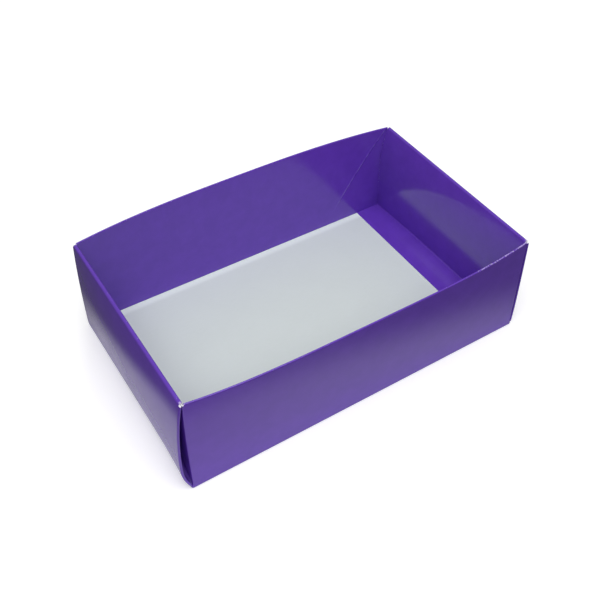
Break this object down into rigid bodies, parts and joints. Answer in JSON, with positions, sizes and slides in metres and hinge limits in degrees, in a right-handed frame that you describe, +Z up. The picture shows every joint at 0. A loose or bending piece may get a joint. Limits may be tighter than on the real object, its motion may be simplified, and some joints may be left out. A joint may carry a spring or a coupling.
{
  "type": "candy box base",
  "caption": "Open rectangular candy box base in folded boxboard, with double walls, rolled rims, tucked corner webs and flanges over the floor at its ends.",
  "frame": {"origin": "middle of the floor's underside, where the floor folds' centre lines cross", "axes": "+X along the long walls towards the right end, +Y across towards the back long wall, +Z up, out of the open top"},
  "size_m": [0.178, 0.1173, 0.0535],
  "materials": {
    "printed_board": "gloss purple print outside and on the turned-in panels, plain white reverse on the floor"
  },
  "bodies": {
    "root": {"candy_box_base": "printed_board"}
  },
  "joints": []
}
